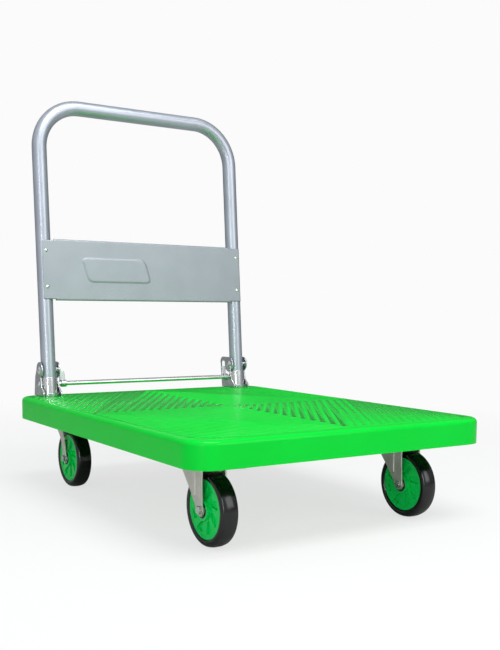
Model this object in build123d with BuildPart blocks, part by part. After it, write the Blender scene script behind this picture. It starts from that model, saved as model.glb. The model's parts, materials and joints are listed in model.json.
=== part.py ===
from build123d import *
from math import asin, cos, degrees, radians, sin
import os

# Folding platform cart, in millimetres. Z is up, Y runs from the front of the deck towards the
# push handle, X across the deck. The origin is on the floor, at the middle of the whole cart.

# ---------------------------------------------------------------- driving sizes
deck_width = 610.0
deck_length = 800.0
deck_depth = 46.0
deck_corner_radius = 45.0
deck_edge_radius = 9.0
deck_wall = 4.0
deck_skin = 5.0

web_thickness = 3.0
web_depth = 27.0
web_pitch_x = 75.0
web_pitch_y = 79.0

tread_rib_height = 1.0
tread_rib_width = 6.5
tread_rib_pitch = 15.5
tread_rib_angle = 57.5
tread_border_x = 13.0
tread_border_y = 21.0
tread_bracket_gap = 5.0

wheel_diameter = 125.0
tyre_width = 32.0
tyre_thickness = 13.5
tyre_shoulder = 6.0
tyre_bead = 1.5

rim_inset = 1.0
rim_thickness = 4.5
hub_face_inset = 3.0
hub_pocket_depth = 4.0
boss_radius = 18.0
boss_width = 38.0
pocket_count = 8
pocket_edge = 3.0
pocket_spread = 24
pocket_sweep = 14
bore_step = 3.0

bearing_radius = 14.0
bearing_width = 8.0
seal_thickness = 1.0
sleeve_radius = 7.5
running_gap = 0.05
washer_thickness = 1.5
washer_radius = 11.0
washer_gap = 0.5

mount_above_wheel = 33.0
plate_recess = 12.0
plate_length = 105.0
plate_width = 85.0
plate_corner = 6.0
fork_sheet = 2.5
plate_bolt_x = 64.0
plate_bolt_y = 80.0
plate_bolt_radius = 4.0
plate_bolt_gap = 0.5
plate_bolt_length = 20.0
bolt_head_height = 5.3
bolt_head_flats = 13.0
insert_radius = 6.0
pad_margin = 5.0

axle_radius = 4.0
axle_head_flats = 13.0
axle_head_height = 4.0
axle_nut_height = 6.5
axle_tail = 2.0
axle_eye = 10.0

caster_inset = 92.0
front_axle_inset = 108.0
rear_axle_inset = 103.5

rigid_front = 5.0
rigid_leg_back = 96.0
rigid_leg_bulge = 4.0
ridge_width = 7.0
ridge_height = 1.5
ridge_back = 16.0

swivel_trail = 38.0
swivel_leg_half = 27.0
swivel_skirt = 16.5
swivel_taper = 5.0
swivel_front_bow = (-5.0, 27.0)
swivel_back_bow = (24.0, 45.0)
crown_radius = 36.0
race_radius = 27.0
race_width = 7.0
race_depth = 3.0
ball_radius = 3.0
ball_count = 20
ball_gap = 0.1
kingpin_radius = 6.0
kingpin_collar = 10.0
kingpin_head_radius = 11.0
kingpin_head_height = 4.0
swivel_gap = 0.3

leg_inset = 62.3
leg_setback = 36.5
handle_lean = radians(4.63)
handle_length = 637.6
tube_radius = 16.0
tube_wall = 1.5
bend_radius = 95.0
tube_foot = 12.5

pivot_height = 57.2
pivot_radius = 5.0
pivot_head_radius = 9.0
pivot_head_height = 4.0
head_taper = 28
stud_radius = 3.5
stud_head_radius = 6.5
stud_head_height = 3.5
stud_back = 4.0
bush_wall = 1.5
bush_gap = 0.2

rod_height = 26.5
rod_radius = 5.0
rod_end_gap = 0.5
rod_lift = 6.0
rod_gap = 0.6
slot_gap = 0.3

lock_sleeve_wall = 1.5
lock_sleeve_gap = 0.3
lock_sleeve_foot = 6.0
lock_sleeve_top = 40.0

tab_inset = 33.2
tab_width = 12.0
tab_height = 27.0
tab_sheet = 3.0
tab_corner = 5.0
length_tolerance = 0.01

seat_thickness = 1.5
seat_gap = 1.0
spring_wire = 1.6
spring_radius = 9.0
spring_turns = 4

ear_gap = 0.5
ear_sheet = 3.0
ear_lobe = 17.5
ear_waist_height = 42.0
ear_waist_back = 2.0
ear_toe_height = 20.0
ear_toe_front = 7.0
ear_heel = 36.5
ear_back = 30.5
ear_back_height = 42.0
ear_round = 12.0
slot_wall = 4.0
fold_range = 98.0
base_sheet = 3.0
base_back = 33.0
cup_gap = 1.6
cup_wall = 2.4
cup_height = 8.0

screw_back = 24.0
screw_front = 4.0
screw_apart = 18.0
screw_radius = 3.0
screw_head_radius = 5.5
screw_head_depth = 2.5
screw_gap = 0.25
screw_insert_radius = 4.5
screw_insert_depth = 18.0
screw_tail = 1.5
bracket_pad_depth = 15.0
bracket_pad_margin = 6.0

panel_bottom = 208.2
panel_top = 342.6
panel_sheet = 1.2
panel_overlap = 9.0
hem_radius = 3.0
hem_end_gap = 2.0
emboss_left = -158.0
emboss_length = 152.0
emboss_bottom = 251.5
emboss_height = 52.0
emboss_slant = 14.0
emboss_rise = 1.2
emboss_taper = 30
emboss_corner = 8.0
rivet_heights = (238.0, 317.0)
rivet_radius = 2.5
rivet_head_radius = 5.0
rivet_head_height = 2.2
rivet_taper = 35
rivet_tail = 2.0

# ---------------------------------------------------------------- places worked out from them
wheel_radius = wheel_diameter / 2
mount_z = wheel_diameter + mount_above_wheel
deck_bottom = mount_z - plate_recess
deck_top = deck_bottom + deck_depth
skin_bottom = deck_top - deck_skin

handle_overhang = handle_length * sin(handle_lean) + tube_radius - leg_setback
deck_y = -handle_overhang / 2
deck_front = deck_y - deck_length / 2
deck_back = deck_y + deck_length / 2
leg_x = deck_width / 2 - leg_inset
leg_y = deck_back - leg_setback

caster_x = deck_width / 2 - caster_inset
front_axle_y = deck_front + front_axle_inset
rear_axle_y = deck_back - rear_axle_inset
kingpin_y = rear_axle_y + swivel_trail

rim_radius = wheel_radius - tyre_thickness
rim_bore = rim_radius - rim_thickness
rim_width = tyre_width - 2 * rim_inset - 2 * tyre_bead
face_width = tyre_width - 2 * hub_face_inset
bearing_start = boss_width / 2 - seal_thickness - bearing_width
fork_gap = boss_width + 2 * (washer_gap + washer_thickness)
fork_inner = fork_gap / 2
fork_outer = fork_inner + fork_sheet

lock_sleeve_bore = tube_radius + lock_sleeve_gap
lock_sleeve_radius = lock_sleeve_bore + lock_sleeve_wall
ear_inner = lock_sleeve_radius + ear_gap
ear_outer = ear_inner + ear_sheet
rod_swing = pivot_height - rod_height
rod_half = leg_x + lock_sleeve_radius - rod_end_gap
cup_bore = lock_sleeve_radius + cup_gap
cup_radius = cup_bore + cup_wall
bush_radius = pivot_radius + running_gap + bush_wall
seat_radius = tube_radius - tube_wall - seat_gap

sides = (("left", -1), ("right", 1))
corners = (("front_left", -1, front_axle_y), ("front_right", 1, front_axle_y),
           ("rear_left", -1, rear_axle_y), ("rear_right", 1, rear_axle_y))

# The handle leans back, so its pieces are drawn in its own planes: handle_plane looks at it from
# the front (x across, y along the leg), leg_side from the right (x backwards, y along the leg).
leg_direction = (0, sin(handle_lean), cos(handle_lean))
handle_plane = Plane(origin=(0, leg_y, deck_top), x_dir=(1, 0, 0),
                     z_dir=(0, -cos(handle_lean), sin(handle_lean)))
leg_side = Plane(origin=(0, leg_y, deck_top), x_dir=(0, cos(handle_lean), -sin(handle_lean)),
                 z_dir=(1, 0, 0))
pivot_point = leg_side.from_local_coords((0, pivot_height, 0))
pivot_back = pivot_point.Y - leg_y
pivot_rise = pivot_point.Z - deck_top


def across_leg(side, height):
    """The plane square to a leg at a height along it, with its normal up the leg."""
    foot = handle_plane.from_local_coords((side * leg_x, height, 0))
    return Plane(origin=foot, x_dir=(1, 0, 0), z_dir=leg_direction)


def at_pivot(x, side):
    """The plane across the fold axis at x, with its normal pointing out of the cart's side."""
    return Plane(origin=(x, pivot_point.Y, pivot_point.Z), x_dir=(0, 1, 0), z_dir=(side, 0, 0))


def at_rod(x, side):
    """The plane across the release rod at x, with its normal pointing out of the cart's side."""
    centre = leg_side.from_local_coords((0, rod_height, x))
    return Plane(origin=centre, x_dir=(0, 1, 0), z_dir=(side, 0, 0))


def at_axle(x, y):
    """The plane through an axle with x along it and y up."""
    return Plane(origin=(x, y, wheel_radius), x_dir=(1, 0, 0), z_dir=(0, -1, 0))


def across_axle(x, y):
    """The plane across an axle at x, with x towards the back and y up."""
    return Plane(origin=(x, y, wheel_radius), x_dir=(0, 1, 0), z_dir=(1, 0, 0))


def save(piece, label):
    piece.part.label = label
    export_step(piece.part, "parts/" + label + ".step")


os.makedirs("parts", exist_ok=True)

# ---------------------------------------------------------------- deck
plate_centres = []
for side_name, side in sides:
    plate_centres.append((side * caster_x, front_axle_y - rigid_front + plate_length / 2))
    plate_centres.append((side * caster_x, kingpin_y))
screw_places = ((0, screw_back), (-screw_apart / 2, -screw_front), (screw_apart / 2, -screw_front))
pad_length = plate_length + 2 * pad_margin
pad_width = plate_width + 2 * pad_margin
bracket_middle = (base_back - cup_radius) / 2
bracket_length = base_back + cup_radius

with BuildPart() as deck:
    with BuildSketch(Plane.XY.offset(deck_bottom)):
        with Locations((0, deck_y)):
            RectangleRounded(deck_width, deck_length, deck_corner_radius)
    extrude(amount=deck_depth)
    fillet(deck.edges().group_by(Axis.Z)[-1], radius=deck_edge_radius)
    with BuildSketch(Plane.XY.offset(deck_bottom)):
        with Locations((0, deck_y)):
            RectangleRounded(deck_width - 2 * deck_wall, deck_length - 2 * deck_wall,
                             deck_corner_radius - deck_wall)
    extrude(amount=deck_depth - deck_skin, mode=Mode.SUBTRACT)
    # moulded stiffening webs under the skin
    with BuildSketch(Plane.XY.offset(skin_bottom - web_depth)) as webs:
        with Locations((0, deck_y)):
            with GridLocations(web_pitch_x, 1, int((deck_width - web_pitch_x / 2) // web_pitch_x), 1):
                Rectangle(web_thickness, deck_length - deck_wall)
            with GridLocations(1, web_pitch_y, 1, int((deck_length - web_pitch_y / 2) // web_pitch_y)):
                Rectangle(deck_width - deck_wall, web_thickness)
    extrude(amount=web_depth)
    # thick pads that the casters and the hinge brackets are fastened to
    with BuildSketch(Plane.XY.offset(mount_z)):
        with Locations(*plate_centres):
            RectangleRounded(pad_width, pad_length, plate_corner)
    extrude(amount=skin_bottom - mount_z)
    with BuildSketch(Plane.XY.offset(skin_bottom - bracket_pad_depth)):
        with Locations((-leg_x, leg_y + bracket_middle), (leg_x, leg_y + bracket_middle)):
            Rectangle(2 * (ear_outer + bracket_pad_margin), bracket_length)
    extrude(amount=bracket_pad_depth)
    with BuildSketch(Plane.XY.offset(mount_z)):
        for centre in plate_centres:
            with Locations(centre):
                with GridLocations(plate_bolt_x, plate_bolt_y, 2, 2):
                    Circle(insert_radius)
    extrude(amount=plate_bolt_length, mode=Mode.SUBTRACT)
    with BuildSketch(Plane.XY.offset(deck_top)):
        for side_name, side in sides:
            with Locations((side * leg_x, leg_y)):
                with Locations(*screw_places):
                    Circle(screw_insert_radius)
    extrude(amount=-screw_insert_depth, mode=Mode.SUBTRACT)
    # anti-slip tread: low ribs in nested diamonds round the middle of the deck
    tread_x = deck_width / 2 - tread_border_x
    tread_y = deck_length / 2 - tread_border_y
    rib_sine = sin(radians(tread_rib_angle))
    rib_cosine = cos(radians(tread_rib_angle))
    ring_count = int((tread_x * rib_sine + tread_y * rib_cosine) // tread_rib_pitch)
    with BuildSketch(Plane.XY.offset(deck_top)):
        with Locations((0, deck_y)):
            for ring in range(ring_count, -1, -1):
                outer = ring * tread_rib_pitch + tread_rib_width / 2
                Polygon((outer / rib_sine, 0), (0, outer / rib_cosine),
                        (-outer / rib_sine, 0), (0, -outer / rib_cosine))
                if ring > 0:
                    inner = ring * tread_rib_pitch - tread_rib_width / 2
                    Polygon((inner / rib_sine, 0), (0, inner / rib_cosine),
                            (-inner / rib_sine, 0), (0, -inner / rib_cosine), mode=Mode.SUBTRACT)
            RectangleRounded(2 * tread_x, 2 * tread_y, deck_corner_radius, mode=Mode.INTERSECT)
        with Locations((-leg_x, leg_y + bracket_middle), (leg_x, leg_y + bracket_middle)):
            Rectangle(2 * (ear_outer + tread_bracket_gap), bracket_length + 2 * tread_bracket_gap,
                      mode=Mode.SUBTRACT)
    extrude(amount=tread_rib_height)
save(deck, "deck")

with BuildPart() as caster_inserts:
    with BuildSketch(Plane.XY.offset(mount_z)):
        for centre in plate_centres:
            with Locations(centre):
                with GridLocations(plate_bolt_x, plate_bolt_y, 2, 2):
                    Circle(insert_radius)
                    Circle(plate_bolt_radius + running_gap, mode=Mode.SUBTRACT)
    extrude(amount=plate_bolt_length)
save(caster_inserts, "caster_inserts")

with BuildPart() as caster_bolts:
    with BuildSketch(Plane.XY.offset(mount_z - fork_sheet - bolt_head_height)):
        for centre in plate_centres:
            with Locations(centre):
                with GridLocations(plate_bolt_x, plate_bolt_y, 2, 2):
                    RegularPolygon(bolt_head_flats / 2, 6, major_radius=False)
    extrude(amount=bolt_head_height)
    with BuildSketch(Plane.XY.offset(mount_z - fork_sheet)):
        for centre in plate_centres:
            with Locations(centre):
                with GridLocations(plate_bolt_x, plate_bolt_y, 2, 2):
                    Circle(plate_bolt_radius)
    extrude(amount=plate_bolt_length)
save(caster_bolts, "caster_bolts")


# ---------------------------------------------------------------- wheels
def pocket_point(radius, turn):
    return (radius * cos(radians(turn)), radius * sin(radians(turn)))


for corner_name, side, axle_y in corners:
    axle_x = side * caster_x
    axle_plane = at_axle(axle_x, axle_y)
    axle = Axis((axle_x, axle_y, wheel_radius), (1, 0, 0))

    with BuildPart() as tyre:
        with BuildSketch(axle_plane) as tyre_section:
            with Locations((0, rim_radius + tyre_thickness / 2)):
                Rectangle(tyre_width, tyre_thickness)
            fillet(tyre_section.vertices().group_by(Axis.Y)[-1], radius=tyre_shoulder)
            fillet(tyre_section.vertices().group_by(Axis.Y)[0], radius=tyre_bead)
        revolve(axis=axle)
    save(tyre, "tyre_" + corner_name)

    with BuildPart() as wheel_hub:
        with BuildSketch(axle_plane):
            with Locations((0, rim_radius / 2)):
                Rectangle(face_width, rim_radius)
            with Locations((0, rim_radius - rim_thickness / 2)):
                Rectangle(rim_width, rim_thickness)
            with Locations((0, boss_radius / 2)):
                Rectangle(boss_width, boss_radius)
        revolve(axis=axle)
        # the bore, stepped for a bearing and its seal at each end
        with BuildSketch(across_axle(axle_x, axle_y)):
            Circle(sleeve_radius + bore_step)
        extrude(amount=boss_width / 2, both=True, mode=Mode.SUBTRACT)
        for end in (-1, 1):
            with BuildSketch(across_axle(axle_x + end * bearing_start, axle_y)):
                Circle(bearing_radius)
            extrude(amount=end * (boss_width / 2 - bearing_start), mode=Mode.SUBTRACT)
            # shallow swirl pockets between the spokes
            with BuildSketch(across_axle(axle_x + end * face_width / 2, axle_y)) as pockets:
                with PolarLocations(0, pocket_count):
                    Polygon(pocket_point(boss_radius + pocket_edge, 0),
                            pocket_point(boss_radius + pocket_edge, pocket_spread),
                            pocket_point(rim_bore - pocket_edge, pocket_spread + pocket_sweep),
                            pocket_point(rim_bore - pocket_edge, pocket_sweep), align=None)
                fillet(pockets.vertices(), radius=pocket_edge / 2)
            extrude(amount=-end * hub_pocket_depth, mode=Mode.SUBTRACT)
    save(wheel_hub, "wheel_hub_" + corner_name)

    with BuildPart() as wheel_bearings:
        for end in (-1, 1):
            with BuildSketch(across_axle(axle_x + end * bearing_start, axle_y)):
                Circle(bearing_radius)
                Circle(sleeve_radius, mode=Mode.SUBTRACT)
            extrude(amount=end * bearing_width)
    save(wheel_bearings, "wheel_bearings_" + corner_name)

    with BuildPart() as bearing_seals:
        for end in (-1, 1):
            with BuildSketch(across_axle(axle_x + end * (bearing_start + bearing_width), axle_y)):
                Circle(bearing_radius)
                Circle(sleeve_radius + slot_gap, mode=Mode.SUBTRACT)
            extrude(amount=end * seal_thickness)
    save(bearing_seals, "bearing_seals_" + corner_name)

    with BuildPart() as axle_sleeve:
        with BuildSketch(across_axle(axle_x, axle_y)):
            Circle(sleeve_radius - running_gap)
            Circle(axle_radius + running_gap, mode=Mode.SUBTRACT)
        extrude(amount=fork_inner - washer_thickness, both=True)
        for end in (-1, 1):
            with BuildSketch(across_axle(axle_x + end * fork_inner, axle_y)):
                Circle(washer_radius)
                Circle(axle_radius + running_gap, mode=Mode.SUBTRACT)
            extrude(amount=-end * washer_thickness)
    save(axle_sleeve, "axle_sleeve_" + corner_name)

axle_groups = (("front", (-1, 1), front_axle_y), ("rear_left", (-1,), rear_axle_y),
               ("rear_right", (1,), rear_axle_y))
for group_name, group_sides, axle_y in axle_groups:
    with BuildPart() as axle_bolt:
        for side in group_sides:
            with BuildSketch(across_axle(side * caster_x - fork_outer, axle_y)):
                RegularPolygon(axle_head_flats / 2, 6, major_radius=False)
            extrude(amount=-axle_head_height)
            with BuildSketch(across_axle(side * caster_x - fork_outer, axle_y)):
                Circle(axle_radius)
            extrude(amount=2 * fork_outer + axle_nut_height + axle_tail)
    save(axle_bolt, "axle_bolt_" + group_name)

    with BuildPart() as axle_nut:
        for side in group_sides:
            with BuildSketch(across_axle(side * caster_x + fork_outer, axle_y)):
                RegularPolygon(axle_head_flats / 2, 6, major_radius=False)
                Circle(axle_radius, mode=Mode.SUBTRACT)
            extrude(amount=axle_nut_height)
    save(axle_nut, "axle_nut_" + group_name)

# ---------------------------------------------------------------- rigid casters at the front
for side_name, side in sides:
    with BuildPart() as rigid_fork:
        with BuildSketch(Plane.XY.offset(mount_z)):
            with Locations((side * caster_x, front_axle_y - rigid_front + plate_length / 2)):
                RectangleRounded(plate_width, plate_length, plate_corner)
                with GridLocations(plate_bolt_x, plate_bolt_y, 2, 2):
                    Circle(plate_bolt_radius + plate_bolt_gap, mode=Mode.SUBTRACT)
        extrude(amount=-fork_sheet)
        for leg in (-1, 1):
            top = mount_z - wheel_radius - fork_sheet / 2
            with BuildSketch(across_axle(side * caster_x + leg * fork_inner, front_axle_y)):
                with BuildLine():
                    Polyline((-axle_eye, 0), (-rigid_front, top), (rigid_leg_back, top))
                    SagittaArc((rigid_leg_back, top), (axle_eye, 0), -rigid_leg_bulge)
                    ThreePointArc((axle_eye, 0), (0, -axle_eye), (-axle_eye, 0))
                make_face()
                Circle(axle_radius, mode=Mode.SUBTRACT)
            extrude(amount=leg * fork_sheet)
            # the pressed stiffening ridge down the leg
            with BuildSketch(across_axle(side * caster_x + leg * fork_outer, front_axle_y)):
                with Locations((ridge_back, (top + 2 * axle_eye) / 2)):
                    SlotOverall(top - 2 * axle_eye, ridge_width, rotation=90)
            extrude(amount=leg * ridge_height)
    save(rigid_fork, "rigid_fork_" + side_name)

# ---------------------------------------------------------------- swivel casters at the back
race_top = mount_z - fork_sheet - race_depth
crown_top = race_top - 2 * (ball_radius + ball_gap)
crown_bottom = crown_top - fork_sheet
for side_name, side in sides:
    kingpin_x = side * caster_x
    kingpin_place = (kingpin_x, kingpin_y)
    with BuildPart() as swivel_plate:
        with BuildSketch(Plane.XY.offset(mount_z)):
            with Locations(kingpin_place):
                RectangleRounded(plate_width, plate_length, plate_corner)
                Circle(kingpin_radius, mode=Mode.SUBTRACT)
                with GridLocations(plate_bolt_x, plate_bolt_y, 2, 2):
                    Circle(plate_bolt_radius + plate_bolt_gap, mode=Mode.SUBTRACT)
        extrude(amount=-fork_sheet)
        with BuildSketch(Plane.XY.offset(race_top)):
            with Locations(kingpin_place):
                Circle(race_radius + race_width / 2)
                Circle(race_radius - race_width / 2, mode=Mode.SUBTRACT)
        extrude(amount=race_depth)
    save(swivel_plate, "swivel_plate_" + side_name)

    with BuildPart() as race_balls:
        with Locations((kingpin_x, kingpin_y, race_top - ball_gap - ball_radius)):
            with PolarLocations(race_radius, ball_count):
                Sphere(ball_radius)
    save(race_balls, "race_balls_" + side_name)

    with BuildPart() as kingpin:
        with BuildSketch(Plane.XY.offset(crown_bottom - swivel_gap - kingpin_head_height)):
            with Locations(kingpin_place):
                Circle(kingpin_head_radius)
        extrude(amount=kingpin_head_height)
        fillet(kingpin.edges().group_by(Axis.Z)[0], radius=kingpin_head_height / 2)
        with BuildSketch(Plane.XY.offset(crown_bottom - swivel_gap)):
            with Locations(kingpin_place):
                Circle(kingpin_radius)
        extrude(amount=mount_z - crown_bottom + swivel_gap)
        with BuildSketch(Plane.XY.offset(crown_top + swivel_gap)):
            with Locations(kingpin_place):
                Circle(kingpin_collar)
        extrude(amount=mount_z - fork_sheet - crown_top - swivel_gap)
    save(kingpin, "kingpin_" + side_name)

    with BuildPart() as swivel_fork:
        with BuildSketch(Plane.XY.offset(crown_bottom)):
            with Locations(kingpin_place):
                Circle(crown_radius)
                Circle(kingpin_radius + 2 * running_gap, mode=Mode.SUBTRACT)
        extrude(amount=fork_sheet)
        for leg in (-1, 1):
            top = crown_top - wheel_radius - fork_sheet / 2
            leg_front = swivel_trail - swivel_leg_half
            leg_back = swivel_trail + swivel_leg_half
            with BuildSketch(across_axle(kingpin_x + leg * fork_inner, rear_axle_y)):
                with BuildLine():
                    ThreePointArc((-axle_eye, 0), swivel_front_bow, (leg_front, top - swivel_skirt))
                    Polyline((leg_front, top - swivel_skirt), (leg_front, top), (leg_back, top),
                             (leg_back - swivel_taper, top - swivel_skirt))
                    ThreePointArc((leg_back - swivel_taper, top - swivel_skirt), swivel_back_bow,
                                  (axle_eye, 0))
                    ThreePointArc((axle_eye, 0), (0, -axle_eye), (-axle_eye, 0))
                make_face()
                Circle(axle_radius, mode=Mode.SUBTRACT)
            extrude(amount=leg * fork_sheet)
    save(swivel_fork, "swivel_fork_" + side_name)

# ---------------------------------------------------------------- hinge brackets
swing_start = -90 - degrees(handle_lean)
swing_outer = rod_swing + rod_radius + rod_gap
swing_inner = rod_swing - rod_lift - rod_radius - rod_gap
ear_top = pivot_rise + ear_lobe
deep_ear_back = pivot_back + swing_outer + slot_wall
pivot_place = (pivot_back, pivot_rise)


def swing_point(radius, turn):
    angle = radians(swing_start + turn)
    return (pivot_back + radius * cos(angle), pivot_rise + radius * sin(angle))


for side_name, side in sides:
    with BuildPart() as hinge_bracket:
        with BuildSketch(Plane.XY.offset(deck_top)):
            with Locations((side * leg_x, leg_y)):
                Circle(cup_radius)
                with Locations((0, base_back / 2)):
                    Rectangle(2 * ear_outer, base_back)
                Rectangle(2 * ear_outer, 2 * cup_radius + 2 * base_back, mode=Mode.INTERSECT)
        extrude(amount=base_sheet)
        # the cup that the foot of the leg drops into, open at the back for the swing
        with BuildSketch(Plane.XY.offset(deck_top)):
            with Locations((side * leg_x, leg_y)):
                Circle(cup_radius)
                Circle(cup_bore, mode=Mode.SUBTRACT)
                with Locations((0, -cup_radius / 2)):
                    Rectangle(2 * ear_outer, cup_radius, mode=Mode.INTERSECT)
        extrude(amount=cup_height)
        for ear in (-1, 1):
            ear_plane = Plane(origin=(side * leg_x + ear * ear_inner, leg_y, deck_top),
                              x_dir=(0, 1, 0), z_dir=(1, 0, 0))
            with BuildSketch(ear_plane) as ear_outline:
                Polygon((-cup_radius, 0), (-cup_radius, cup_height), (-ear_toe_front, ear_toe_height),
                        (-ear_waist_back, ear_waist_height), (pivot_back, pivot_rise),
                        (pivot_back + ear_lobe, pivot_rise), (ear_back, ear_back_height),
                        (ear_heel, 0), align=None)
                fillet(ear_outline.vertices().sort_by(Axis.X)[1:3], radius=rod_radius)
                with Locations(pivot_place):
                    Circle(ear_lobe)
                if ear != side:
                    # the inner ear is deeper, for the closed slot that the release rod swings in
                    with BuildLine():
                        Polyline((deep_ear_back, ear_top - ear_round), (ear_heel, 0), (0, 0),
                                 (pivot_back, ear_top), (deep_ear_back - ear_round, ear_top))
                        CenterArc((deep_ear_back - ear_round, ear_top - ear_round), ear_round, 0, 90)
                    make_face()
                    with BuildLine():
                        CenterArc(pivot_place, swing_outer, swing_start, fold_range)
                        Line(swing_point(swing_outer, fold_range), swing_point(swing_inner, fold_range))
                        CenterArc(pivot_place, swing_inner, swing_start, fold_range)
                        Line(swing_point(swing_inner, 0), swing_point(swing_outer, 0))
                    make_face(mode=Mode.SUBTRACT)
                    for turn in (0, fold_range):
                        with Locations(swing_point(rod_swing - rod_lift / 2, turn)):
                            SlotCenterToCenter(rod_lift, 2 * (rod_radius + rod_gap),
                                               rotation=swing_start + turn, mode=Mode.SUBTRACT)
                else:
                    with Locations((stud_back, rod_height)):
                        Circle(stud_radius, mode=Mode.SUBTRACT)
                with Locations(pivot_place):
                    Circle(pivot_radius, mode=Mode.SUBTRACT)
            extrude(amount=ear * ear_sheet)
        with Locations((side * leg_x, leg_y, deck_top + base_sheet)):
            with Locations(*screw_places):
                CounterSinkHole(screw_radius + screw_gap, screw_head_radius + screw_gap)
    save(hinge_bracket, "hinge_bracket_" + side_name)

with BuildPart() as bracket_screws:
    for side_name, side in sides:
        with Locations((side * leg_x, leg_y, deck_top + base_sheet)):
            with Locations(*screw_places):
                Cylinder(screw_radius, base_sheet + screw_insert_depth - screw_tail,
                         align=(Align.CENTER, Align.CENTER, Align.MAX))
                Cone(screw_radius, screw_head_radius, screw_head_depth,
                     align=(Align.CENTER, Align.CENTER, Align.MAX))
save(bracket_screws, "bracket_screws")

with BuildPart() as bracket_inserts:
    with BuildSketch(Plane.XY.offset(deck_top)):
        for side_name, side in sides:
            with Locations((side * leg_x, leg_y)):
                with Locations(*screw_places):
                    Circle(screw_insert_radius)
                    Circle(screw_radius + running_gap, mode=Mode.SUBTRACT)
    extrude(amount=-screw_insert_depth)
save(bracket_inserts, "bracket_inserts")

with BuildPart() as pivot_pins:
    for side_name, side in sides:
        with BuildSketch(at_pivot(side * leg_x, side)):
            Circle(pivot_radius)
        extrude(amount=ear_outer, both=True)
        for end in (-1, 1):
            with BuildSketch(at_pivot(side * leg_x + end * ear_outer, end)):
                Circle(pivot_head_radius)
            extrude(amount=pivot_head_height, taper=head_taper)
save(pivot_pins, "pivot_pins")

with BuildPart() as ear_studs:
    for side_name, side in sides:
        stud_place = (side * (leg_x + ear_outer), leg_y + stud_back, deck_top + rod_height)
        outward = Plane(origin=stud_place, x_dir=(0, 1, 0), z_dir=(side, 0, 0))
        with BuildSketch(outward):
            Circle(stud_radius)
        extrude(amount=-ear_sheet)
        with BuildSketch(outward):
            Circle(stud_head_radius)
        extrude(amount=stud_head_height, taper=head_taper)
save(ear_studs, "ear_studs")

# ---------------------------------------------------------------- handle
with BuildPart() as handle_tube:
    with BuildLine(handle_plane) as handle_path:
        FilletPolyline((-leg_x, tube_foot), (-leg_x, handle_length), (leg_x, handle_length),
                       (leg_x, tube_foot), radius=bend_radius)
    with BuildSketch(across_leg(-1, tube_foot)):
        Circle(tube_radius)
        Circle(tube_radius - tube_wall, mode=Mode.SUBTRACT)
    sweep(path=handle_path.wire())
    with BuildSketch(leg_side):
        with Locations((0, rod_height + rod_lift / 2)):
            SlotCenterToCenter(rod_lift, 2 * (rod_radius + slot_gap), rotation=90)
        with Locations((0, pivot_height)):
            Circle(bush_radius)
    extrude(amount=leg_x + 2 * tube_radius, both=True, mode=Mode.SUBTRACT)
    with BuildSketch(handle_plane):
        for rivet_height in rivet_heights:
            with Locations((-leg_x, rivet_height), (leg_x, rivet_height)):
                Circle(rivet_radius)
    extrude(amount=2 * tube_radius, mode=Mode.SUBTRACT)
save(handle_tube, "handle_tube")

with BuildPart() as handle_panel:
    with BuildSketch(handle_plane.offset(tube_radius)):
        with Locations((0, (panel_bottom + panel_top) / 2)):
            Rectangle(2 * (leg_x + panel_overlap), panel_top - panel_bottom - 2 * hem_radius)
        for rivet_height in rivet_heights:
            with Locations((-leg_x, rivet_height), (leg_x, rivet_height)):
                Circle(rivet_radius, mode=Mode.SUBTRACT)
    extrude(amount=panel_sheet)
    # the rolled hems along the top and bottom edges, between the legs
    hem_back = hem_radius - tube_radius - panel_sheet
    with BuildSketch(leg_side):
        for hem_height in (panel_bottom + hem_radius, panel_top - hem_radius):
            with Locations((hem_back, hem_height)):
                Circle(hem_radius)
                Circle(hem_radius - panel_sheet, mode=Mode.SUBTRACT)
    extrude(amount=leg_x - tube_radius - hem_end_gap, both=True)
    # the raised field pressed into the sheet
    with BuildSketch(handle_plane.offset(tube_radius + panel_sheet)) as emboss:
        emboss_top = emboss_bottom + emboss_height
        Polygon((emboss_left + emboss_slant, emboss_bottom),
                (emboss_left + emboss_slant + emboss_length, emboss_bottom),
                (emboss_left + emboss_length, emboss_top), (emboss_left, emboss_top), align=None)
        fillet(emboss.vertices(), radius=emboss_corner)
    extrude(amount=emboss_rise, taper=emboss_taper)
save(handle_panel, "handle_panel")

with BuildPart() as panel_rivets:
    rivet_places = []
    for rivet_height in rivet_heights:
        rivet_places.append((-leg_x, rivet_height))
        rivet_places.append((leg_x, rivet_height))
    rivet_back = tube_radius - tube_wall - rivet_tail
    with BuildSketch(handle_plane.offset(rivet_back)):
        with Locations(*rivet_places):
            Circle(rivet_radius)
    extrude(amount=tube_radius + panel_sheet - rivet_back)
    with BuildSketch(handle_plane.offset(tube_radius + panel_sheet)):
        with Locations(*rivet_places):
            Circle(rivet_head_radius)
    extrude(amount=rivet_head_height, taper=rivet_taper)
save(panel_rivets, "panel_rivets")

with BuildPart() as pivot_bushes:
    for side_name, side in sides:
        with BuildSketch(at_pivot(side * leg_x, side)):
            Circle(bush_radius)
            Circle(pivot_radius + running_gap, mode=Mode.SUBTRACT)
        extrude(amount=ear_inner - bush_gap, both=True)
save(pivot_bushes, "pivot_bushes")

upper_seat = pivot_height - bush_radius - seat_thickness
lower_seat = rod_height + rod_radius
with BuildPart() as spring_seats:
    for side_name, side in sides:
        with BuildSketch(across_leg(side, upper_seat)):
            Circle(seat_radius)
        extrude(amount=seat_thickness)
save(spring_seats, "spring_seats")

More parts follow.
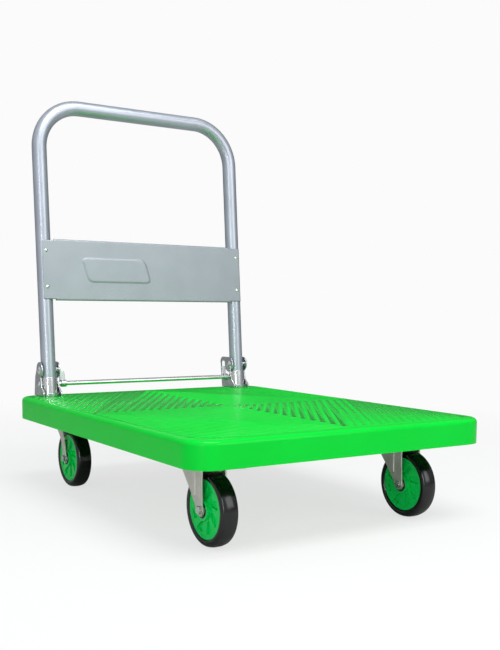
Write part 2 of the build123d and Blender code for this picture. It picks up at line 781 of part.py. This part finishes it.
spring_base = lower_seat + seat_thickness + spring_wire / 2
spring_height = upper_seat - spring_wire / 2 - spring_base
for side_name, side in sides:
    with BuildPart() as lock_spring:
        with BuildLine(across_leg(side, spring_base)) as coil:
            Helix(spring_height / spring_turns, spring_height, spring_radius)
        with BuildSketch(Plane(origin=coil.line @ 0, z_dir=coil.line % 0)):
            Circle(spring_wire / 2)
        sweep(path=coil.wire(), is_frenet=True)
    save(lock_spring, "lock_spring_" + side_name)

# ---------------------------------------------------------------- release rod and its sleeves
with BuildPart() as release_rod:
    with BuildSketch(at_rod(0, 1)):
        Circle(rod_radius)
    extrude(amount=rod_half, both=True)
save(release_rod, "release_rod")

for side_name, side in sides:
    with BuildPart() as lock_sleeve:
        with BuildSketch(across_leg(side, lock_sleeve_foot)):
            Circle(lock_sleeve_radius)
            Circle(lock_sleeve_bore, mode=Mode.SUBTRACT)
        extrude(amount=lock_sleeve_top - lock_sleeve_foot)
        with BuildSketch(at_rod(side * leg_x, side)):
            Circle(rod_radius)
        extrude(amount=2 * lock_sleeve_radius, both=True, mode=Mode.SUBTRACT)
    save(lock_sleeve, "lock_sleeve_" + side_name)

with BuildPart() as lift_tabs:
    for side_name, side in sides:
        tab_middle = side * (leg_x - tab_inset)
        with BuildSketch(leg_side.offset(tab_middle)) as tab_section:
            with Locations((0, rod_height)):
                Circle(rod_radius + tab_sheet)
            with Locations((rod_radius + tab_sheet / 2, rod_height + tab_height / 2)):
                Rectangle(tab_sheet, tab_height)
            with Locations((0, rod_height)):
                Circle(rod_radius, mode=Mode.SUBTRACT)
        extrude(amount=tab_width / 2, both=True)
    fillet(lift_tabs.edges().filter_by(lambda e: abs(e.length - tab_sheet) < length_tolerance)
           .group_by(Axis.Z)[-1], radius=tab_corner)
save(lift_tabs, "lift_tabs")

with BuildPart() as rod_saddles:
    for side_name, side in sides:
        with BuildSketch(across_leg(side, lower_seat)):
            Circle(seat_radius)
        extrude(amount=seat_thickness)
save(rod_saddles, "rod_saddles")

# How far the handle folds before its top bar would meet the tread, and the joint places.
fold_drop = pivot_rise - tube_radius - tread_rib_height
fold_limit = 90 + degrees(handle_lean) + degrees(asin(fold_drop / (handle_length - pivot_height)))
print("fold axis", round(pivot_point.Y, 3), round(pivot_point.Z, 3), "fold limit", round(fold_limit, 2))
print("axles", round(caster_x, 3), round(front_axle_y, 3), round(rear_axle_y, 3), round(wheel_radius, 3))
print("kingpin", round(kingpin_y, 3), "deck centre", round(deck_y, 4), "deck top", round(deck_top, 3))
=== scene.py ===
import json
from math import asin, cos, degrees, hypot, pi, radians, sin

import bmesh
import bpy
from mathutils import Matrix, Vector


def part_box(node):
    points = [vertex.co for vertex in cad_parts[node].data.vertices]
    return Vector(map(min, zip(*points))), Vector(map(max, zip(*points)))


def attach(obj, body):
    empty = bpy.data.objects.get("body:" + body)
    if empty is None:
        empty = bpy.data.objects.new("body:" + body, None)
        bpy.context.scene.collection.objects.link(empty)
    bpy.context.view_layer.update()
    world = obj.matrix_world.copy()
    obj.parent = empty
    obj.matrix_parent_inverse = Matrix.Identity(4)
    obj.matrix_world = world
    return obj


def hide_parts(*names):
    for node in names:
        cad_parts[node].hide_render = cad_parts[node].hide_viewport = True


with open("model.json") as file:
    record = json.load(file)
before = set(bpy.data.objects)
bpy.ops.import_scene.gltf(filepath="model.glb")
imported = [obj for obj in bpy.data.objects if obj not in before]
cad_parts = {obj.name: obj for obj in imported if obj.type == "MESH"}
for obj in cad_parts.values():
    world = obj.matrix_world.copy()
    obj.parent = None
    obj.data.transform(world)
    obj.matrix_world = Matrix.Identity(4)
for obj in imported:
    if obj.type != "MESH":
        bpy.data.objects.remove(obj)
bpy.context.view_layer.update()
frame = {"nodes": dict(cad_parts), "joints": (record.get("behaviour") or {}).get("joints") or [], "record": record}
nodes = frame["nodes"]
joints = {joint["name"]: joint for joint in frame["joints"]}

# Folding platform cart, in metres, in the frame of its CAD model: Z up, the handle towards +Y.
MM = 0.001
CORNERS = ("front_left", "front_right", "rear_left", "rear_right")


# ---------------------------------------------------------------- shading tools
def linear(hex_code):
    """An sRGB hex colour as the linear colour that a shader takes."""
    parts = [int(hex_code[place:place + 2], 16) / 255 for place in (1, 3, 5)]
    return tuple(p / 12.92 if p <= 0.04045 else ((p + 0.055) / 1.055) ** 2.4 for p in parts) + (1,)


def add(tree, kind, inputs=None, **settings):
    """Adds one shader node. An input is a value, or another node's output that is linked to it."""
    node = tree.nodes.new("ShaderNode" + kind)
    for name, value in settings.items():
        setattr(node, name, value)
    for name, value in (inputs or {}).items():
        if isinstance(value, bpy.types.NodeSocket):
            tree.links.new(value, node.inputs[name])
        else:
            node.inputs[name].default_value = value
    return node


def new_material(name):
    """An empty material, its node tree and its Object coordinates."""
    made = bpy.data.materials.new(name)
    made.use_nodes = True
    made.node_tree.nodes.clear()
    return made, made.node_tree, add(made.node_tree, "TexCoord").outputs["Object"]


def finish_material(made, tree, inputs):
    """The Principled shader of a material and its output."""
    shader = add(tree, "BsdfPrincipled", inputs)
    add(tree, "OutputMaterial", {"Surface": shader.outputs["BSDF"]})
    return made


def grain(tree, place, size, detail=3, roughness=0.5, stretch=(1, 1, 1)):
    """Cloudy variation from 0 to 1 whose patches are about the given size in millimetres."""
    scaled = add(tree, "Mapping", {"Vector": place, "Scale": stretch}).outputs["Vector"]
    return add(tree, "TexNoise", {"Vector": scaled, "Scale": 1 / (size * MM), "Detail": detail,
                                  "Roughness": roughness}).outputs["Fac"]


def ramp(tree, value, low, high, to_low=0, to_high=1):
    """Stretches a value so that low..high becomes to_low..to_high."""
    return add(tree, "MapRange", {"Value": value, "From Min": low, "From Max": high,
                                  "To Min": to_low, "To Max": to_high}).outputs["Result"]


def blend_colours(tree, amount, first, second, mode="MIX"):
    node = add(tree, "Mix", {0: amount, 6: first, 7: second}, data_type="RGBA", blend_type=mode)
    return node.outputs[2]


def relief(tree, height, depth, strength=1, below=None):
    """A bump of the given depth in millimetres, on top of another bump if there is one."""
    inputs = {"Height": height, "Distance": depth * MM, "Strength": strength}
    if below is not None:
        inputs["Normal"] = below
    return add(tree, "Bump", inputs).outputs["Normal"]


# ---------------------------------------------------------------- materials
def moulded_polypropylene(name, base, deep, worn, roughness, shine):
    """Injection moulded polypropylene: a deep even colour under a waxy gloss, with the faint orange
    peel of the mould, slow sink waves over the webs, and pale hair scratches from use on top."""
    made, tree, place = new_material(name)
    clouds = grain(tree, place, 110)
    colour = blend_colours(tree, ramp(tree, clouds, 0.35, 0.7), linear(deep), linear(base))
    along = grain(tree, place, 1.6, 2, 0.4, (1, 0.04, 1))
    across = grain(tree, place, 1.6, 2, 0.4, (0.05, 1, 1))
    hair = add(tree, "Math", {0: ramp(tree, along, 0.68, 0.76), 1: ramp(tree, across, 0.7, 0.78)},
               operation="MAXIMUM").outputs["Value"]
    facing = add(tree, "SeparateXYZ", {0: add(tree, "NewGeometry").outputs["Normal"]}).outputs["Z"]
    wear = add(tree, "Math", {0: hair, 1: ramp(tree, facing, 0.6, 0.95)}, operation="MULTIPLY")
    wear = wear.outputs["Value"]
    faint = add(tree, "Math", {0: wear, 1: 0.05}, operation="MULTIPLY").outputs["Value"]
    colour = blend_colours(tree, faint, colour, linear(worn))
    gloss = ramp(tree, grain(tree, place, 14), 0.3, 0.7, roughness - 0.03, roughness + 0.05)
    waves = relief(tree, grain(tree, place, 70, 1), 0.1, 0.3)
    peel = relief(tree, grain(tree, place, 2.2, 1), 0.003, 0.4, waves)
    return finish_material(made, tree, {"Base Color": colour, "Roughness": gloss, "IOR": 1.49,
                                        "Specular IOR Level": shine, "Normal": peel})


def thermoplastic_rubber(name):
    """Moulded thermoplastic rubber, new: black and wet-looking, with slow moulding waves and a
    trace of warm floor dust low in the shine."""
    made, tree, place = new_material(name)
    dust = ramp(tree, grain(tree, place, 9, 5, 0.65), 0.5, 0.75, 0, 0.25)
    colour = blend_colours(tree, dust, linear("#070707"), linear("#17130f"))
    gloss = ramp(tree, grain(tree, place, 6, 4), 0.3, 0.7, 0.14, 0.22)
    skin = relief(tree, grain(tree, place, 1.1, 2), 0.006, 0.5)
    waves = relief(tree, grain(tree, place, 30, 1), 0.1, 0.4, skin)
    return finish_material(made, tree, {"Base Color": colour, "Roughness": gloss, "IOR": 1.52,
                                        "Normal": waves})


def nitrile_rubber(name):
    """Moulded nitrile: the matt black of a bearing's seal, with fine talc-like specks."""
    made, tree, place = new_material(name)
    specks = ramp(tree, grain(tree, place, 0.8, 2), 0.6, 0.8, 0, 0.2)
    colour = blend_colours(tree, specks, linear("#0c0c0c"), linear("#2c2c2b"))
    return finish_material(made, tree, {"Base Color": colour, "Roughness": 0.42,
                                        "Normal": relief(tree, grain(tree, place, 1, 2), 0.02, 0.5)})


def silver_powder_coat(name, light, dark, smooth, rough, metallic):
    """Silver powder coat on steel: fine metal flakes under a satin skin, with the slight orange
    peel of flowing out in the oven."""
    made, tree, place = new_material(name)
    clouds = ramp(tree, grain(tree, place, 60), 0.3, 0.7)
    colour = blend_colours(tree, clouds, linear(dark), linear(light))
    # real flakes are under 0.1 mm, so they are drawn at 1 mm to show at all
    flakes = add(tree, "TexVoronoi", {"Vector": place, "Scale": 1 / (1.0 * MM)})
    shade = add(tree, "SeparateColor", {0: flakes.outputs["Color"]}).outputs["Red"]
    sparkle = ramp(tree, shade, 0, 1, 0.985, 1.01)
    grey = add(tree, "CombineColor", {0: sparkle, 1: sparkle, 2: sparkle}).outputs["Color"]
    colour = blend_colours(tree, 1.0, colour, grey, "MULTIPLY")
    gloss = ramp(tree, grain(tree, place, 15), 0.3, 0.7, smooth, rough)
    peel = relief(tree, grain(tree, place, 22, 1), 0.004, 0.3)
    return finish_material(made, tree, {"Base Color": colour, "Metallic": metallic,
                                        "Roughness": gloss,
                                        "Normal": peel})


def zinc_plate(name, light, dark, smooth, rough, metallic=1.0):
    """Zinc plated steel: a soft bright metal with cloudy passivation, a faint warm bloom, drawing
    lines from the press and scattered dull handling marks."""
    made, tree, place = new_material(name)
    clouds = ramp(tree, grain(tree, place, 18, 3, 0.5), 0.32, 0.68)
    colour = blend_colours(tree, clouds, linear(dark), linear(light))
    warm = ramp(tree, grain(tree, place, 30, 2), 0.5, 0.8, 0, 0.25)
    colour = blend_colours(tree, warm, colour, linear("#cfc2ae"))
    lines = grain(tree, place, 0.9, 2, 0.5, (1, 1, 0.03))
    marks = grain(tree, place, 6, 4, 0.6)
    gloss = ramp(tree, marks, 0.35, 0.7, smooth, rough)
    drawn = relief(tree, lines, 0.008, 0.4)
    return finish_material(made, tree, {"Base Color": colour, "Metallic": metallic,
                                        "Roughness": gloss,
                                        "Normal": relief(tree, marks, 0.012, 0.3, drawn)})


def bright_nickel(name):
    """Bright nickel plate on polished steel: mirror-like, with a few faint rub marks and the slow
    unevenness of buffing."""
    made, tree, place = new_material(name)
    rubs = ramp(tree, grain(tree, place, 8, 4, 0.6), 0.55, 0.8)
    colour = blend_colours(tree, rubs, linear("#dfe0df"), linear("#c4c5c2"))
    gloss = ramp(tree, rubs, 0, 1, 0.15, 0.24)
    return finish_material(made, tree, {"Base Color": colour, "Metallic": 1.0, "Roughness": gloss,
                                        "Normal": relief(tree, grain(tree, place, 12, 1), 0.01, 0.4)})


def turned_brass(name):
    """Turned brass, a little tarnished, with the rings of the lathe tool."""
    made, tree, place = new_material(name)
    tarnish = ramp(tree, grain(tree, place, 3, 4), 0.4, 0.7)
    colour = blend_colours(tree, tarnish, linear("#d9b661"), linear("#8f6f33"))
    rings = grain(tree, place, 0.7, 1, 0.5, (0.05, 0.05, 1))
    return finish_material(made, tree, {"Base Color": colour, "Metallic": 1.0,
                                        "Roughness": ramp(tree, tarnish, 0, 1, 0.2, 0.42),
                                        "Normal": relief(tree, rings, 0.01, 0.5)})


deck_plastic = moulded_polypropylene("moulded_polypropylene_deck", "#00c835", "#00c432", "#5fd67a",
                                     roughness=0.2, shine=0.14)
hub_plastic = moulded_polypropylene("moulded_polypropylene_hub", "#05d860", "#04ce58", "#6fe592",
                                    roughness=0.28, shine=0.25)
tyre_rubber = thermoplastic_rubber("thermoplastic_rubber_tyre")
seal_rubber = nitrile_rubber("nitrile_rubber_seal")
silver_coat = silver_powder_coat("silver_powder_coated_tube", "#b6bcc6", "#aeb4be", 0.36, 0.42, 0.8)
sheet_coat = silver_powder_coat("silver_powder_coated_sheet", "#9da4a9", "#989fa4", 0.44, 0.5, 0.75)
fork_plate = zinc_plate("zinc_plated_fork_steel", "#d3d1c9", "#c4c2bb", 0.3, 0.42, 0.85)
bracket_plate = zinc_plate("zinc_plated_bracket_steel", "#c9cdd0", "#b4b8bb", 0.24, 0.38)
bolt_plate = zinc_plate("zinc_plated_bolt_steel", "#cfd2d1", "#a8acab", 0.2, 0.36)
bright_plate = bright_nickel("bright_nickel_plated_steel")
brass = turned_brass("turned_brass_insert")
slot_materials = {"deck_green": deck_plastic, "hub_green": hub_plastic, "tyre_black": tyre_rubber,
                  "seal_black": seal_rubber, "handle_silver": silver_coat, "fork_zinc": fork_plate,
                  "bracket_zinc": bracket_plate, "bright_steel": bright_plate,
                  "bolt_zinc": bolt_plate, "insert_brass": brass}
node_slots = {part["node"]: part["material_slot"] for part in frame["record"]["subparts"]}
for node_name, cad_node in nodes.items():
    cad_node.data.materials.clear()
    cad_node.data.materials.append(slot_materials[node_slots[node_name]])
body_of = {node: body for body, group in frame["record"]["behaviour"]["bodies"].items()
           for node in group}


# ---------------------------------------------------------------- shaping tools
def keep(shape, name, stands_for, crisp=35, weighted=True):
    """Turns a shape into a piece that stands for CAD nodes, with their body, slot and material."""
    first = stands_for[0]
    mesh = bpy.data.meshes.new(name)
    for face in shape.faces:
        face.smooth = True
    shape.to_mesh(mesh)
    shape.free()
    mesh.set_sharp_from_angle(angle=radians(crisp))
    mesh.materials.append(slot_materials[node_slots[first]])
    piece = bpy.data.objects.new(name, mesh)
    bpy.context.scene.collection.objects.link(piece)
    if weighted:
        flats = piece.modifiers.new("even flats", "WEIGHTED_NORMAL")
        flats.keep_sharp = True
    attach(piece, body_of[first])
    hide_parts(*stands_for)
    return piece


def soften(shape, edges, radius, segments=2):
    bmesh.ops.bevel(shape, geom=edges, offset=radius, offset_type="OFFSET", segments=segments,
                    profile=0.5, affect="EDGES", clamp_overlap=False, material=-1)


def sharp_edges(shape, angle=30):
    return [e for e in shape.edges if len(e.link_faces) == 2 and e.calc_face_angle() > radians(angle)]


def refined(node, radius, angle=30, segments=2):
    """A CAD node's shape with its sharp edges rounded, as tumbling and plating leave them."""
    shape = bmesh.new()
    shape.from_mesh(nodes[node].data)
    bmesh.ops.remove_doubles(shape, verts=shape.verts, dist=0.002 * MM)
    bmesh.ops.dissolve_limit(shape, angle_limit=radians(0.5), verts=shape.verts, edges=shape.edges)
    soften(shape, sharp_edges(shape, angle), radius * MM, segments)
    return shape


def turned(shape, outline, centre, axis, steps=72, ring=False):
    """Turns an outline of (along, radius) points, in millimetres, about an axis as a lathe does."""
    centre = Vector(centre)
    axis = Vector(axis).normalized()
    out = axis.orthogonal().normalized()
    points = [shape.verts.new(centre + axis * along * MM + out * radius * MM)
              for along, radius in outline]
    pairs = list(zip(points, points[1:])) + ([(points[-1], points[0])] if ring else [])
    edges = [shape.edges.new(pair) for pair in pairs]
    bmesh.ops.spin(shape, geom=points + edges, cent=centre, axis=axis, angle=2 * pi, steps=steps,
                   use_merge=True)
    bmesh.ops.remove_doubles(shape, verts=shape.verts, dist=0.002 * MM)
    bmesh.ops.recalc_face_normals(shape, faces=shape.faces)


def arc(centre, radius, first, last, steps):
    """Points of an arc in an outline, from one angle to another in degrees."""
    turns = [radians(first + (last - first) * step / steps) for step in range(steps + 1)]
    return [(centre[0] + radius * cos(turn), centre[1] + radius * sin(turn)) for turn in turns]


def middle(node):
    low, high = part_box(node)
    return (low + high) / 2


# ---------------------------------------------------------------- pieces that keep their CAD shape
# Pressing, turning and tumbling leave no edge sharp: the radius in millimetres for each. The handle
# tube and the hubs have no edge that shows at this size, and keep their CAD meshes.
EDGE_RADII = {"rigid_fork": 0.7, "swivel_fork": 0.7,
              "swivel_plate": 0.6, "hinge_bracket": 0.7, "lock_sleeve": 0.4, "lift_tabs": 0.8,
              "axle_bolt": 0.9, "axle_nut": 0.9, "caster_bolts": 0.9,
              "bracket_screws": 0.3, "bearing_seals": 0.3, "axle_sleeve": 0.3, "kingpin": 0.4}
for node_name in nodes:
    for family, edge_radius in EDGE_RADII.items():
        if node_name.startswith(family):
            keep(refined(node_name, edge_radius), node_name + "_finished", [node_name])

# ---------------------------------------------------------------- tread
# The ribs of the tread are low rounded bars. Their tops are inset step by step, and each step stands
# a little higher than the one outside it: how far in from the last, and how high, in millimetres.
RIB_STEPS = ((0.0, 0.3), (0.7, 0.66), (0.8, 0.86), (0.9, 0.97))
RIB_HEIGHT = 1.0
FLAT_STRIP = 0.4
FLUSH = 0.01


def ribbed_deck():
    """The deck with its ribs rounded. Its CAD ribs are plain bars with square edges."""
    shape = bmesh.new()
    shape.from_mesh(nodes["deck"].data)
    bmesh.ops.remove_doubles(shape, verts=shape.verts, dist=0.002 * MM)
    top = max(vert.co.z for vert in shape.verts)
    skin = top - RIB_HEIGHT * MM
    tops = [face for face in shape.faces
            if face.normal.z > 0.99 and face.calc_center_median().z > top - 0.1 * MM]
    low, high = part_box("deck")
    walls = []
    for face in shape.faces:
        place = face.calc_center_median()
        apart = (place.x - low.x, high.x - place.x, place.y - low.y, high.y - place.y)
        if abs(face.normal.z) < 0.001 and min(apart) < FLUSH * MM:
            walls.append(face)
    # a narrow strip round each side wall takes the turn of the shading, so that the wall stays flat
    bmesh.ops.inset_region(shape, faces=walls, thickness=FLAT_STRIP * MM, use_boundary=True,
                           use_even_offset=True)
    for inward, height in RIB_STEPS:
        if inward:
            bmesh.ops.inset_region(shape, faces=tops, thickness=inward * MM, use_boundary=True,
                                   use_even_offset=True)
        for vert in {vert for face in tops for vert in face.verts}:
            vert.co.z = skin + height * MM
    return shape


keep(ribbed_deck(), "deck_finished", ["deck"], crisp=40, weighted=False)

# ---------------------------------------------------------------- tyres
TYRE_SHOULDER = 7.5
TYRE_CROWN = 1.0
TYRE_BULGE = 0.8
TYRE_BEAD = 1.6
for corner in CORNERS:
    tyre_low, tyre_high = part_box("tyre_" + corner)
    tyre_radius = (tyre_high.z - tyre_low.z) / 2 / MM
    half_width = (tyre_high.x - tyre_low.x) / 2 / MM
    hub_low, hub_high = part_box("wheel_hub_" + corner)
    bead_radius = (hub_high.z - hub_low.z) / 2 / MM
    shoulder = (half_width - TYRE_SHOULDER, tyre_radius - TYRE_CROWN - TYRE_SHOULDER)
    side = [(half_width - TYRE_BULGE, bead_radius + TYRE_BEAD)]
    side += arc(shoulder, TYRE_SHOULDER, 0, 78, 8)
    side += [(half_width / 3, tyre_radius - TYRE_CROWN / 9), (0, tyre_radius)]
    bead = [(half_width - TYRE_BULGE - TYRE_BEAD, bead_radius)]
    outline = bead + side + [(-along, radius) for along, radius in reversed(side[:-1])]
    outline += [(-along, radius) for along, radius in bead]
    tyre = bmesh.new()
    turned(tyre, outline, middle("tyre_" + corner), (1, 0, 0), 96, ring=True)
    soften(tyre, sharp_edges(tyre, 30), 0.5 * MM)
    keep(tyre, "tyre_" + corner + "_moulded", ["tyre_" + corner], crisp=60)

# ---------------------------------------------------------------- handle frame and panel
# Places on the handle are measured from its fold axis: across the cart, up the leg and out of the
# panel's front face.
fold_place = Vector(joints["handle_fold"]["pos_m"])
up_leg = Vector(joints["release_lift"]["axis"]).normalized()
out_of_panel = Vector((0, -up_leg.z, up_leg.y))


def on_handle(across, up, out):
    return fold_place + Vector((across, 0, 0)) + up_leg * up + out_of_panel * out


# The handle's own sizes, as in its CAD model; heights are from the foot of the leg.
PIVOT_HEIGHT = 57.2 * MM
BUSH_REACH = 18.1 * MM
LEG_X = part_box("pivot_bushes")[1].x - BUSH_REACH
TUBE_RADIUS = 16 * MM
SHEET = 1.2 * MM
HEM = 3 * MM
HEM_ROLL = 290
PANEL_GRID = 2 * MM
PANEL_LOW = 208.2 * MM - PIVOT_HEIGHT + HEM
PANEL_HIGH = 342.6 * MM - PIVOT_HEIGHT - HEM
PANEL_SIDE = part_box("handle_panel")[1].x
HEM_SIDE = LEG_X - TUBE_RADIUS - 2 * MM
EMBOSS_RISE = 1.2 * MM
EMBOSS_SOFT = 3.0 * MM
EMBOSS_ROUND = 12 * MM
EMBOSS_MIDDLE = (-76.5 * MM, 276.6 * MM - PIVOT_HEIGHT)
EMBOSS_HALF = (78 * MM, 27.5 * MM)
EMBOSS_LEAN = -14 / 52


def emboss_height(across, up):
    """How far the panel is pressed out at a place: a slanted field with soft rounded edges."""
    y = up - EMBOSS_MIDDLE[1]
    x = across - EMBOSS_MIDDLE[0] - y * EMBOSS_LEAN
    beyond_x = max(abs(x) - EMBOSS_HALF[0] + EMBOSS_ROUND, 0)
    beyond_y = max(abs(y) - EMBOSS_HALF[1] + EMBOSS_ROUND, 0)
    inside = min(max((EMBOSS_ROUND - hypot(beyond_x, beyond_y)) / EMBOSS_SOFT, 0), 1)
    return EMBOSS_RISE * inside * inside * (3 - 2 * inside)


def panel_sheet():
    """One sheet of steel, pressed, with its top and bottom edges rolled back between the legs."""
    shape = bmesh.new()
    roll = radians(HEM_ROLL)
    height = PANEL_HIGH - PANEL_LOW
    columns = 2 * round(PANEL_SIDE / PANEL_GRID)
    rows = round(height / PANEL_GRID)
    hem_rows = 14
    bmesh.ops.create_grid(shape, x_segments=columns, y_segments=rows + 2 * hem_rows, size=0.5)
    shape.verts.ensure_lookup_table()
    gone = []
    for face in shape.faces:
        row = (face.calc_center_median().y + 0.5) * (rows + 2 * hem_rows)
        across = face.calc_center_median().x * 2 * PANEL_SIDE
        if not hem_rows < row < hem_rows + rows and abs(across) > HEM_SIDE:
            gone.append(face)
    bmesh.ops.delete(shape, geom=gone, context="FACES")
    for vert in shape.verts:
        row = round((vert.co.y + 0.5) * (rows + 2 * hem_rows))
        across = vert.co.x * 2 * PANEL_SIDE
        step = min(max(row - hem_rows, 0), rows) / rows
        over = max(hem_rows - row, row - hem_rows - rows, 0) / hem_rows
        up = PANEL_LOW + height * step
        if over:
            end = 1 if row > hem_rows else -1
            vert.co = on_handle(across, up + end * (HEM - SHEET / 2) * sin(over * roll),
                                TUBE_RADIUS + SHEET / 2 - (HEM - SHEET / 2) * (1 - cos(over * roll)))
        else:
            vert.co = on_handle(across, up, TUBE_RADIUS + SHEET / 2 + emboss_height(across, up))
    bmesh.ops.recalc_face_normals(shape, faces=shape.faces)
    return shape


panel = keep(panel_sheet(), "handle_panel_pressed", ["handle_panel"], weighted=False)
panel.data.materials[0] = sheet_coat
thickness = panel.modifiers.new("sheet", "SOLIDIFY")
thickness.thickness = SHEET
thickness.offset = 0

# ---------------------------------------------------------------- rivets, pins and studs
# Sizes in millimetres. A head is its radius and its height.
RIVET_HEIGHTS = (238, 317)
RIVET_RADIUS = 2.5
RIVET_DEPTH = 6
RIVET_HEAD = (4.2, 2.0)
PIN_RADIUS = 5
PIN_HEAD = (9, 4)
STUD_RADIUS = 3.5
STUD_DEPTH = 3
STUD_HEAD = (6.5, 3.5)


def dome(radius, height, steps=7):
    """The outline of a domed head from its rim to its crown, standing on along = 0."""
    ball = (radius * radius + height * height) / (2 * height)
    reach = degrees(asin(radius / ball))
    return [(along - ball + height, out) for along, out in arc((0, 0), ball, reach, 0, steps)]


def headed(shape, place, axis, shank, back, radius, height, steps=40):
    """A shank that runs back from a seat, with a domed head standing on the seat."""
    turned(shape, [(-back, 0), (-back, shank), (0, shank)] + dome(radius, height), place, axis, steps)


def rivets():
    shape = bmesh.new()
    for x in (-LEG_X, LEG_X):
        for height in RIVET_HEIGHTS:
            place = on_handle(x, height * MM - PIVOT_HEIGHT, TUBE_RADIUS + SHEET)
            headed(shape, place, out_of_panel, RIVET_RADIUS, RIVET_DEPTH, *RIVET_HEAD, steps=32)
    return shape


def pivot_pins():
    """Each pin is one piece through its two ears, with a domed head at both ends."""
    shape = bmesh.new()
    seat = (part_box("pivot_pins")[1].x - LEG_X) / MM - PIN_HEAD[1]
    for leg in (-LEG_X, LEG_X):
        place = Vector((leg, fold_place.y, fold_place.z))
        left = [(-along - seat, radius) for along, radius in reversed(dome(*PIN_HEAD))]
        right = [(along + seat, radius) for along, radius in dome(*PIN_HEAD)]
        turned(shape, left + [(-seat, PIN_RADIUS), (seat, PIN_RADIUS)] + right, place, (1, 0, 0), 48)
    return shape


def ear_studs():
    """Each stud is riveted through an outer ear, with its domed head on the outside."""
    shape = bmesh.new()
    low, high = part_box("ear_studs")
    seat = high.x - STUD_HEAD[1] * MM
    for side in (-1, 1):
        place = Vector((side * seat, (low.y + high.y) / 2, (low.z + high.z) / 2))
        headed(shape, place, (side, 0, 0), STUD_RADIUS, STUD_DEPTH, *STUD_HEAD)
    return shape


keep(rivets(), "panel_rivets_domed", ["panel_rivets"], crisp=50)
keep(pivot_pins(), "pivot_pins_domed", ["pivot_pins"], crisp=50)
keep(ear_studs(), "ear_studs_domed", ["ear_studs"], crisp=50)

# ---------------------------------------------------------------- camera, light and floor
ROOM_BRIGHTEST = (-0.56, -0.6, 0.57)
ROOM_BRIGHT = 0.85
ROOM_DARK = 0.15


def set_camera():
    """Stands where the cart is seen from the front left, a little above the deck."""
    yaw, pitch, roll = radians(32.798), radians(5.467), radians(0.448)
    ahead = Vector((sin(yaw) * cos(pitch), cos(yaw) * cos(pitch), -sin(pitch)))
    level = Vector((cos(yaw), -sin(yaw), 0))
    above = level.cross(ahead)
    right = level * cos(roll) + above * sin(roll)
    up = above * cos(roll) - level * sin(roll)
    data = bpy.data.cameras.new("camera")
    data.lens = 50.3
    data.shift_y = 0.1077
    camera = bpy.data.objects.new("camera", data)
    bpy.context.scene.collection.objects.link(camera)
    camera.matrix_world = Matrix.Translation((-0.94878, -1.5615, 0.38749)) @ Matrix(
        (right, up, -ahead)).transposed().to_4x4()
    bpy.context.scene.camera = camera


def softbox(name, place, target, size, power):
    data = bpy.data.lights.new(name, "AREA")
    data.shape = "RECTANGLE"
    data.size, data.size_y = size
    data.energy = power
    lamp = bpy.data.objects.new(name, data)
    lamp.location = place
    lamp.rotation_euler = (Vector(target) - Vector(place)).to_track_quat("-Z", "Y").to_euler()
    bpy.context.scene.collection.objects.link(lamp)


def seen_or_lit(tree, seen, lit):
    """One shader for what the camera sees directly, and another for what lights the object."""
    return add(tree, "MixShader", {0: add(tree, "LightPath").outputs["Is Camera Ray"],
                                   1: lit, 2: seen}).outputs["Shader"]


def set_stage():
    """A plain pale floor that melts into an even pale world, with soft boxes round the front."""
    air = linear("#fbfbfb")
    world = bpy.data.worlds.new("studio")
    world.use_nodes = True
    tree = world.node_tree
    tree.nodes.clear()
    away = add(tree, "TexCoord").outputs["Generated"]
    forward = add(tree, "VectorMath", {0: away, 1: ROOM_BRIGHTEST}, operation="DOT_PRODUCT")
    forward = forward.outputs["Value"]
    strength = ramp(tree, forward, -0.6, 0.85, ROOM_DARK, ROOM_BRIGHT)
    lit = add(tree, "Background", {"Color": linear("#eef2f6"), "Strength": strength})
    seen = add(tree, "Background", {"Color": air, "Strength": 1})
    add(tree, "OutputWorld", {"Surface": seen_or_lit(tree, seen.outputs["Background"],
                                                     lit.outputs["Background"])})
    bpy.context.scene.world = world
    paint, tree, place = new_material("pale_studio_floor")
    far = add(tree, "VectorMath", {0: place}, operation="LENGTH").outputs["Value"]
    matt = add(tree, "BsdfPrincipled", {"Base Color": linear("#e6e6e5"), "Roughness": 0.8,
                                        "Specular IOR Level": 0.1}).outputs["BSDF"]
    glow = add(tree, "Emission", {"Color": air, "Strength": 1}).outputs["Emission"]
    fade = add(tree, "MixShader", {0: ramp(tree, far, 0.6, 2.0, 0.72, 1), 1: matt, 2: glow})
    dull = add(tree, "BsdfPrincipled", {"Base Color": linear("#c2c2c0"), "Roughness": 0.9,
                                        "Specular IOR Level": 0.1}).outputs["BSDF"]
    add(tree, "OutputMaterial", {"Surface": seen_or_lit(tree, fade.outputs["Shader"], dull)})
    shape = bmesh.new()
    bmesh.ops.create_circle(shape, cap_ends=True, segments=96, radius=40)
    mesh = bpy.data.meshes.new("floor")
    shape.to_mesh(mesh)
    shape.free()
    mesh.materials.append(paint)
    floor = bpy.data.objects.new("floor", mesh)
    bpy.context.scene.collection.objects.link(floor)
    softbox("front", (1.3, -3.2, 1.5), (0, 0, 0.3), (1.8, 1.8), 24)
    softbox("strip", (-2.5, -2.4, 0.95), (0, 0, 0.4), (0.16, 1.6), 20)
    softbox("top", (-0.2, -1.4, 2.9), (0, 0, 0.1), (2.2, 1.4), 78)
    bpy.context.scene.view_settings.view_transform = "Standard"


set_camera()
set_stage()
